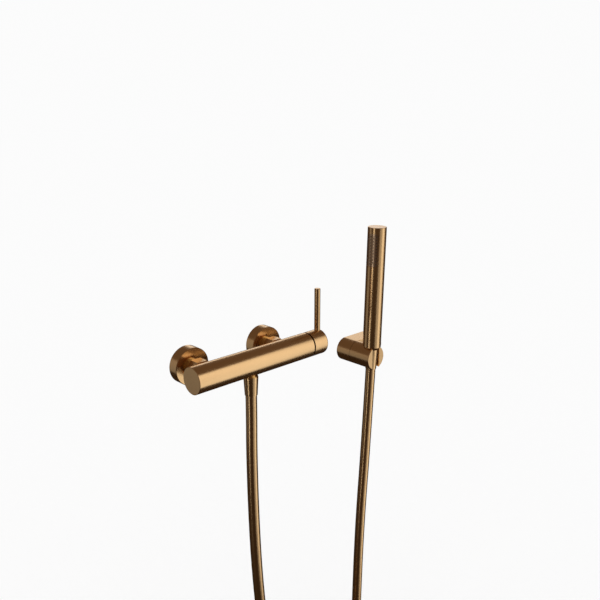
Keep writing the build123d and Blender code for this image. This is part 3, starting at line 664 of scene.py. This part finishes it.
def nozzle_tree():
    """Geometry Nodes: staggered columns of nozzles around the hand shower's axis."""
    tree = bpy.data.node_groups.new("Spray Nozzles", "GeometryNodeTree")
    inputs = (
        ("Columns", "NodeSocketInt"), ("Rows", "NodeSocketInt"), ("Column Step", "NodeSocketFloat"),
        ("Row Pitch", "NodeSocketFloat"), ("Middle", "NodeSocketFloat"), ("Plate Radius", "NodeSocketFloat"),
        ("Nozzle Radius", "NodeSocketFloat"), ("Rise", "NodeSocketFloat"), ("Foot", "NodeSocketFloat"),
        ("Lean", "NodeSocketVector"), ("Shower Foot", "NodeSocketVector"), ("Silicone", "NodeSocketMaterial"),
    )
    for name, kind in inputs:
        group_socket(tree, name, "INPUT", kind)
    group_socket(tree, "Geometry", "OUTPUT", "NodeSocketGeometry")
    nodes, link = tree.nodes, tree.links.new
    given = nodes.new("NodeGroupInput").outputs
    made = nodes.new("NodeGroupOutput")

    index = nodes.new("GeometryNodeInputIndex").outputs["Index"]
    column = math_node(tree, "FLOOR", math_node(tree, "DIVIDE", index, given["Rows"]))
    row = math_node(tree, "MODULO", index, given["Rows"])
    odd = math_node(tree, "MODULO", column, 2.0)
    middle_column = math_node(tree, "MULTIPLY_ADD", given["Columns"], 0.5, -0.5)
    middle_row = math_node(tree, "MULTIPLY_ADD", given["Rows"], 0.5, -0.5)
    turns = math_node(tree, "SUBTRACT", column, middle_column)
    angle = math_node(tree, "MULTIPLY", turns, given["Column Step"])
    step = math_node(tree, "MULTIPLY_ADD", odd, 0.5, math_node(tree, "SUBTRACT", row, middle_row))
    height = math_node(tree, "MULTIPLY_ADD", step, given["Row Pitch"], given["Middle"])
    out_x = math_node(tree, "MULTIPLY", math_node(tree, "COSINE", angle), -1.0)
    out_y = math_node(tree, "SINE", angle)
    foot_radius = math_node(tree, "SUBTRACT", given["Plate Radius"], given["Foot"])

    outward = nodes.new("ShaderNodeCombineXYZ")
    link(out_x, outward.inputs["X"])
    link(out_y, outward.inputs["Y"])
    place = nodes.new("ShaderNodeCombineXYZ")
    link(math_node(tree, "MULTIPLY", out_x, foot_radius), place.inputs["X"])
    link(math_node(tree, "MULTIPLY", out_y, foot_radius), place.inputs["Y"])
    link(height, place.inputs["Z"])

    points = nodes.new("GeometryNodePoints")
    link(math_node(tree, "MULTIPLY", given["Columns"], given["Rows"]), points.inputs["Count"])
    link(place.outputs["Vector"], points.inputs["Position"])
    last = math_node(tree, "GREATER_THAN", row, math_node(tree, "SUBTRACT", given["Rows"], 1.5))
    drop = nodes.new("GeometryNodeDeleteGeometry")
    turn = nodes.new("FunctionNodeAlignRotationToVector")
    turn.axis = "Z"
    link(outward.outputs["Vector"], turn.inputs["Vector"])

    spread = nodes.new("GeometryNodeInstanceOnPoints")
    link(points.outputs["Points"], spread.inputs["Points"])
    link(nozzle_shape(tree, given["Nozzle Radius"], given["Foot"], given["Rise"]), spread.inputs["Instance"])
    link(turn.outputs["Rotation"], spread.inputs["Rotation"])
    drop.domain = "INSTANCE"
    link(spread.outputs["Instances"], drop.inputs["Geometry"])
    link(math_node(tree, "MULTIPLY", odd, last), drop.inputs["Selection"])

    stand = nodes.new("GeometryNodeTransform")
    link(drop.outputs["Geometry"], stand.inputs["Geometry"])
    link(given["Lean"], stand.inputs["Rotation"])
    link(given["Shower Foot"], stand.inputs["Translation"])
    real = nodes.new("GeometryNodeRealizeInstances")
    link(stand.outputs["Geometry"], real.inputs["Geometry"])
    coat = nodes.new("GeometryNodeSetMaterial")
    link(real.outputs["Geometry"], coat.inputs["Geometry"])
    link(given["Silicone"], coat.inputs["Material"])
    link(coat.outputs["Geometry"], made.inputs["Geometry"])
    return tree


class BATHMIXER_OT_nozzles(bpy.types.Operator):
    """Stand the silicone nozzles in the hand shower's spray plate"""
    bl_idname = "bathmixer.nozzles"
    bl_label = "Spray nozzles"

    def execute(self, context):
        spray = context.scene.mixer_nozzles
        silicone = plain_finish("nozzle_silicone", spray.colour, SILICONE_ROUGHNESS)
        carrier = bpy.data.objects.new("nozzle_carrier", bpy.data.meshes.new("nozzle_carrier"))
        context.scene.collection.objects.link(carrier)
        nozzles = carrier.modifiers.new("Spray Nozzles", "NODES")
        tree = nozzle_tree()
        nozzles.node_group = tree
        values = {
            "Columns": spray.columns, "Rows": spray.rows, "Column Step": spray.column_step,
            "Row Pitch": spray.row_pitch, "Middle": spray.middle, "Plate Radius": spray.plate_radius,
            "Nozzle Radius": spray.radius, "Rise": spray.rise, "Foot": spray.foot,
            "Lean": (SHOWER_LEAN, 0.0, 0.0), "Shower Foot": tuple(SHOWER_FOOT), "Silicone": silicone,
        }
        for item in tree.interface.items_tree:
            if item.in_out == "INPUT":
                nozzles[item.identifier] = values[item.name]
        context.view_layer.update()
        piece = finish_mesh("spray_nozzle_tips", carrier, silicone)
        bpy.data.objects.remove(carrier)
        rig.ride(piece, "hand_shower")
        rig.replaces(piece, "spray_nozzles")
        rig.slot(piece, "nozzle_silicone")
        return {"FINISHED"}


# ---- studio ----
def soft_box(name, azimuth, elevation, distance, size, power):
    """A rectangular soft box at a bearing and height, facing the mixer."""
    data = bpy.data.lights.new(name, "AREA")
    data.shape = "RECTANGLE"
    data.size, data.size_y = size
    data.energy = power
    light = bpy.data.objects.new(name, data)
    turn, tilt = math.radians(azimuth), math.radians(elevation)
    away = Vector((math.sin(turn) * math.cos(tilt), -math.cos(turn) * math.cos(tilt), math.sin(tilt)))
    light.location = Vector(SOFT_BOX_AIM) + away * distance
    light.rotation_euler = (-away).to_track_quat("-Z", "Y").to_euler()
    light.visible_camera = False
    light.visible_diffuse = False
    bpy.context.scene.collection.objects.link(light)


def studio_world():
    """A white backdrop that lights the floor, and a dim room for the metal to reflect, darkest low down."""
    world = bpy.data.worlds.new("studio")
    world.use_nodes = True
    nodes, link = world.node_tree.nodes, world.node_tree.links.new
    backdrop = nodes["Background"]
    backdrop.inputs["Color"].default_value = (1, 1, 1, 1)
    backdrop.inputs["Strength"].default_value = BACKDROP_STRENGTH
    room = nodes.new("ShaderNodeBackground")
    place = nodes.new("ShaderNodeTexCoord")
    split = nodes.new("ShaderNodeSeparateXYZ")
    link(place.outputs["Generated"], split.inputs["Vector"])
    ramp = nodes.new("ShaderNodeValToRGB")
    for stop, (position, colour) in zip(ramp.color_ramp.elements, (ROOM_LOW, ROOM_HIGH)):
        stop.position = position
        stop.color = colour
    lift = nodes.new("ShaderNodeMath")
    lift.operation = "MULTIPLY_ADD"
    lift.inputs[1].default_value = 0.5
    lift.inputs[2].default_value = 0.5
    link(split.outputs["Z"], lift.inputs[0])
    link(lift.outputs["Value"], ramp.inputs["Fac"])
    link(ramp.outputs["Color"], room.inputs["Color"])
    seen = nodes.new("ShaderNodeLightPath")
    choose = nodes.new("ShaderNodeMixShader")
    link(seen.outputs["Is Glossy Ray"], choose.inputs["Fac"])
    link(backdrop.outputs["Background"], choose.inputs[1])
    link(room.outputs["Background"], choose.inputs[2])
    link(choose.outputs["Shader"], nodes["World Output"].inputs["Surface"])
    world.cycles.sampling_method = "NONE"
    bpy.context.scene.world = world


class BATHMIXER_OT_studio(bpy.types.Operator):
    """Lay the pale floor and set up the soft boxes"""
    bl_idname = "bathmixer.studio"
    bl_label = "Studio"

    def execute(self, context):
        studio = context.scene.mixer_studio
        low = CAD_BOX[0].z - studio.floor_gap
        if studio.use_floor:
            half = FLOOR_HALF
            mesh = bpy.data.meshes.new("studio_floor")
            mesh.from_pydata(
                [(-half, -half, low), (half, -half, low), (half, half, low), (-half, half, low)], [],
                [(0, 1, 2, 3)])
            mesh.materials.append(
                plain_finish(
                    "studio_floor", studio.floor_colour, FLOOR_ROUGHNESS, Specular_IOR_Level=0.0))
            floor = bpy.data.objects.new("studio_floor", mesh)
            floor.visible_glossy = False
            floor.visible_shadow = False
            context.scene.collection.objects.link(floor)
            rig.stage(floor)
        studio_world()
        for box in SOFT_BOXES:
            soft_box(*box)
        context.scene.view_settings.view_transform = "Standard"
        return {"FINISHED"}


class BATHMIXER_PT_looks(bpy.types.Panel):
    """Lists the mixer's pieces and their settings"""
    bl_idname = "BATHMIXER_PT_looks"
    bl_label = "Bath Mixer"
    bl_space_type = "VIEW_3D"
    bl_region_type = "UI"
    bl_category = "Bath Mixer"

    def draw(self, context):
        scene = context.scene
        for operator, settings in (
            ("bathmixer.camera", None),
            ("bathmixer.hose", scene.mixer_hose),
            ("bathmixer.copper", scene.mixer_copper),
            ("bathmixer.inner_pieces", None),
            ("bathmixer.nozzles", scene.mixer_nozzles),
            ("bathmixer.studio", scene.mixer_studio),
        ):
            box = self.layout.box()
            box.operator(operator)
            for name in settings.bl_rna.properties.keys() if settings else ():
                if name not in ("rna_type", "name"):
                    box.prop(settings, name)


GROUPS = {
    "mixer_copper": MixerCopper,
    "mixer_hose": HoseSheath,
    "mixer_nozzles": SprayNozzles,
    "mixer_studio": MixerStudio,
}
OPERATORS = (
    BATHMIXER_OT_camera,
    BATHMIXER_OT_hose,
    BATHMIXER_OT_copper,
    BATHMIXER_OT_inner_pieces,
    BATHMIXER_OT_nozzles,
    BATHMIXER_OT_studio,
)


def register():
    for group in GROUPS.values():
        bpy.utils.register_class(group)
    for name, group in GROUPS.items():
        setattr(bpy.types.Scene, name, PointerProperty(type=group))
    for operator in OPERATORS:
        bpy.utils.register_class(operator)
    bpy.utils.register_class(BATHMIXER_PT_looks)


def unregister():
    bpy.utils.unregister_class(BATHMIXER_PT_looks)
    for operator in reversed(OPERATORS):
        bpy.utils.unregister_class(operator)
    for name in GROUPS:
        delattr(bpy.types.Scene, name)
    for group in reversed(list(GROUPS.values())):
        bpy.utils.unregister_class(group)


def main():
    register()
    bpy.ops.bathmixer.camera()
    bpy.ops.bathmixer.hose()
    bpy.ops.bathmixer.copper()
    bpy.ops.bathmixer.inner_pieces()
    bpy.ops.bathmixer.nozzles()
    bpy.ops.bathmixer.studio()
    looks_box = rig.bounds()
    with open(SIZE_FILE, "w") as out:
        json.dump({"cad": [list(corner) for corner in CAD_BOX],
                   "visual": [list(corner) for corner in looks_box]}, out)


if __name__ == "__main__":
    main()
